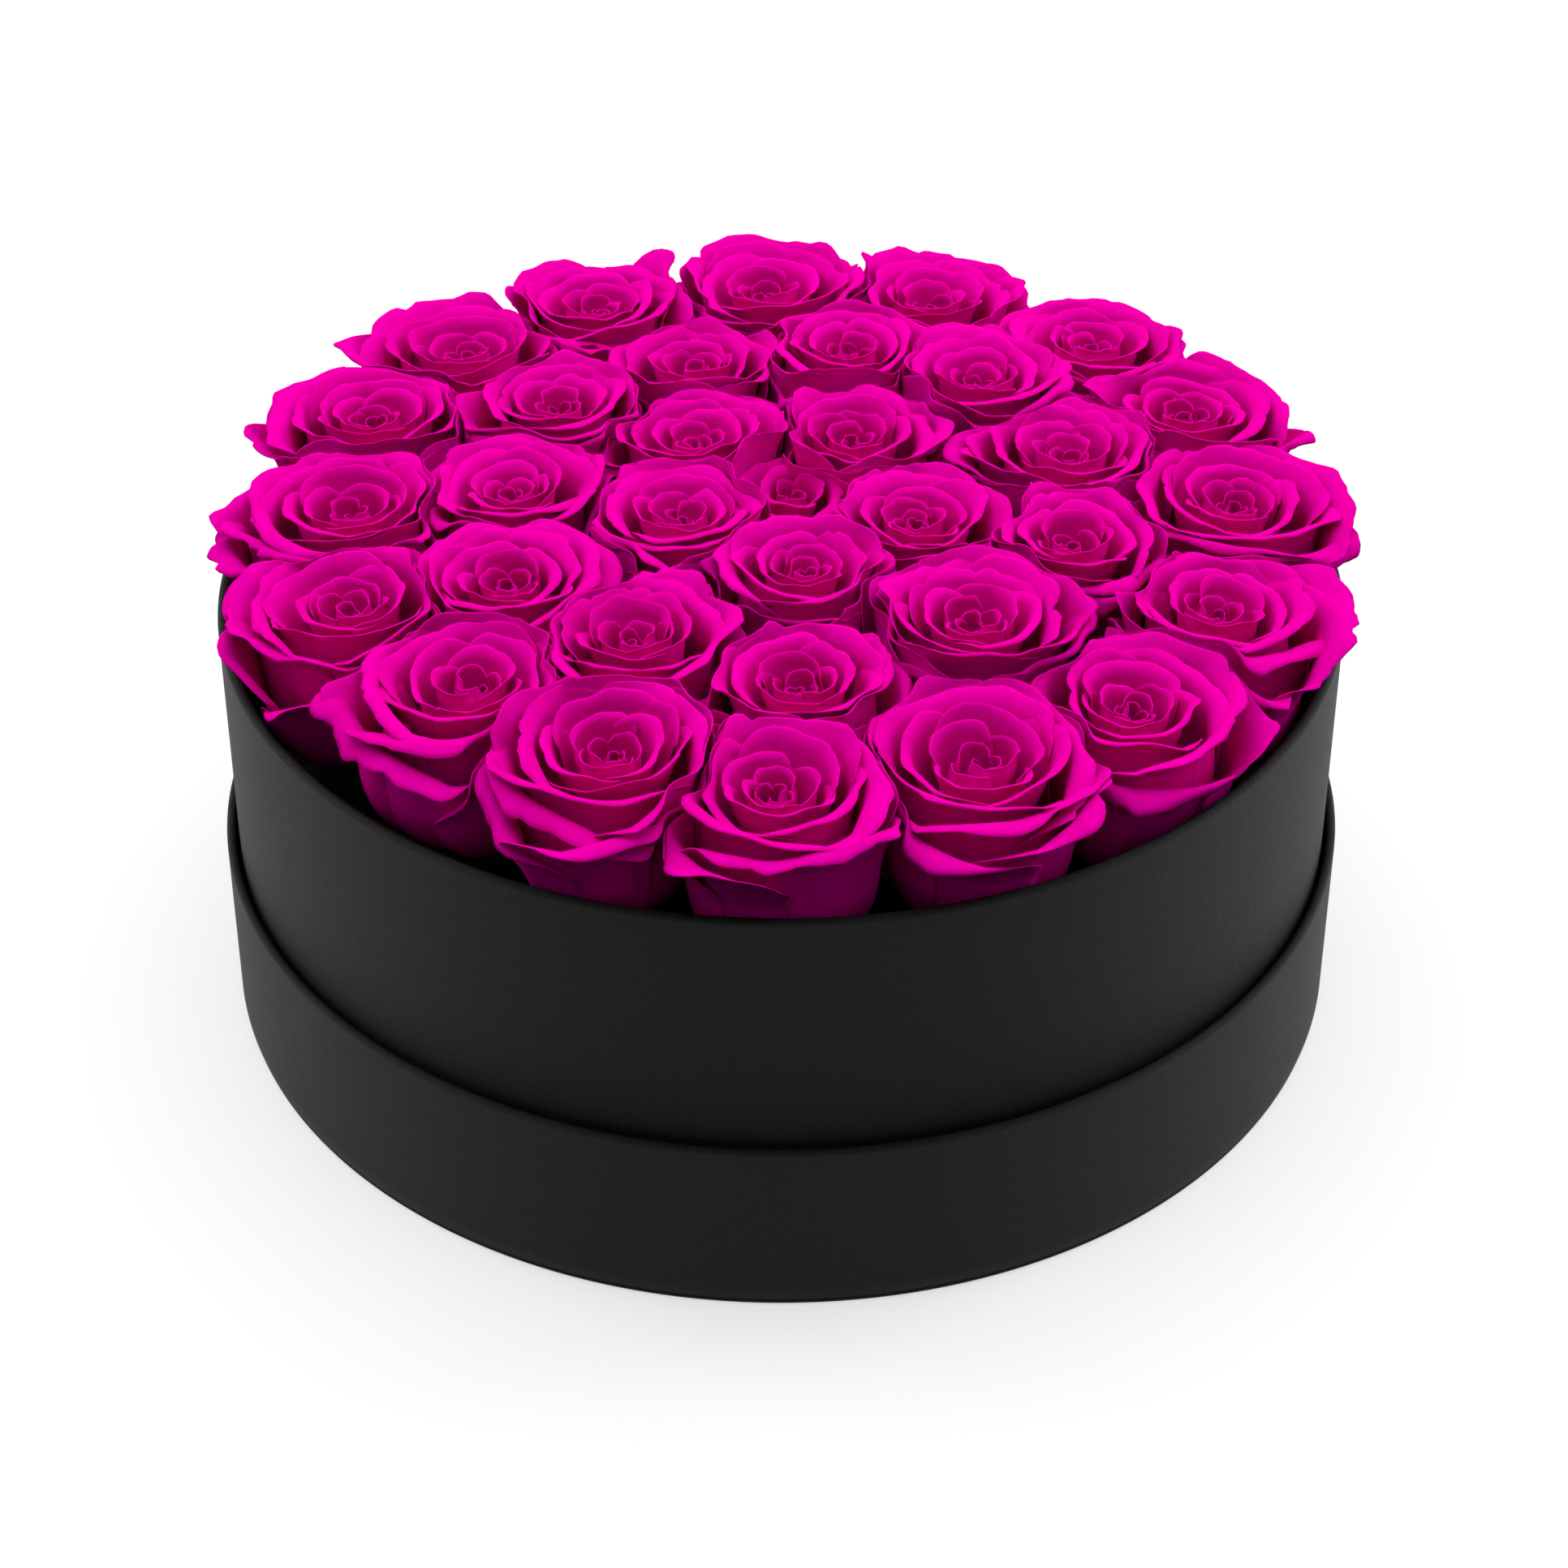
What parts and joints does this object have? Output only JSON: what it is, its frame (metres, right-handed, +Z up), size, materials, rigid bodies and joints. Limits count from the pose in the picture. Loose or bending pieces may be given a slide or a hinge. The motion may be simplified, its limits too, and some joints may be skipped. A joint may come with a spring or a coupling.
{
  "type": "flower box",
  "caption": "Round papered hat box standing in its own upturned lid, filled to just above the rim with upright preserved rose heads set in a block of dry foam.",
  "frame": {"origin": "centre of the upturned lid's outer face, on the surface that the box stands on", "axes": "+Z up along the axis of the box and the lid, -Y towards the front"},
  "size_m": [0.307, 0.307, 0.152],
  "materials": {
    "embossed_paper": "satin",
    "lining_paper": "matte",
    "board": "matte",
    "dry_foam": "matte",
    "petals": "matte",
    "calyx_green": "matte",
    "stem_green": "matte"
  },
  "bodies": {
    "lid": {"lid_disc_board": "board", "lid_disc_wrap": "embossed_paper", "lid_rim_board": "board", "lid_rim_wrap": "embossed_paper", "lid_lining_wall": "lining_paper", "lid_lining_disc": "lining_paper"},
    "box": {"box_base_board": "board", "box_base_wrap": "embossed_paper", "box_wall_board": "board", "box_wall_wrap": "embossed_paper", "box_lining_wall": "lining_paper", "box_lining_floor": "lining_paper"},
    "arrangement": {"foam_block": "dry_foam", "rose_calyxes_outer": "calyx_green", "rose_calyxes_middle": "calyx_green", "rose_calyxes_inner": "calyx_green", "rose_stems_outer": "stem_green", "rose_stems_middle": "stem_green", "rose_stems_inner": "stem_green", "rose_outer_01": "petals", "rose_outer_02": "petals", "rose_outer_03": "petals", "rose_outer_04": "petals", "rose_outer_05": "petals", "rose_outer_06": "petals", "rose_outer_07": "petals", "rose_outer_08": "petals", "rose_outer_09": "petals", "rose_outer_10": "petals", "rose_outer_11": "petals", "rose_outer_12": "petals", "rose_outer_13": "petals", "rose_outer_14": "petals", "rose_outer_15": "petals", "rose_outer_16": "petals", "rose_middle_01": "petals", "rose_middle_02": "petals", "rose_middle_03": "petals", "rose_middle_04": "petals", "rose_middle_05": "petals", "rose_middle_06": "petals", "rose_middle_07": "petals", "rose_middle_08": "petals", "rose_middle_09": "petals", "rose_middle_10": "petals", "rose_middle_11": "petals", "rose_inner_01": "petals", "rose_inner_02": "petals", "rose_inner_03": "petals", "rose_inner_04": "petals", "rose_inner_05": "petals", "rose_centre": "petals"}
  },
  "joints": [
    {"name": "box_lift", "type": "slide", "parent": "lid", "child": "box", "axis": [0, 0, 1], "range_m": [0, 0.06]},
    {"name": "arrangement_lift", "type": "slide", "parent": "box", "child": "arrangement", "axis": [0, 0, 1], "range_m": [0, 0.13]}
  ]
}
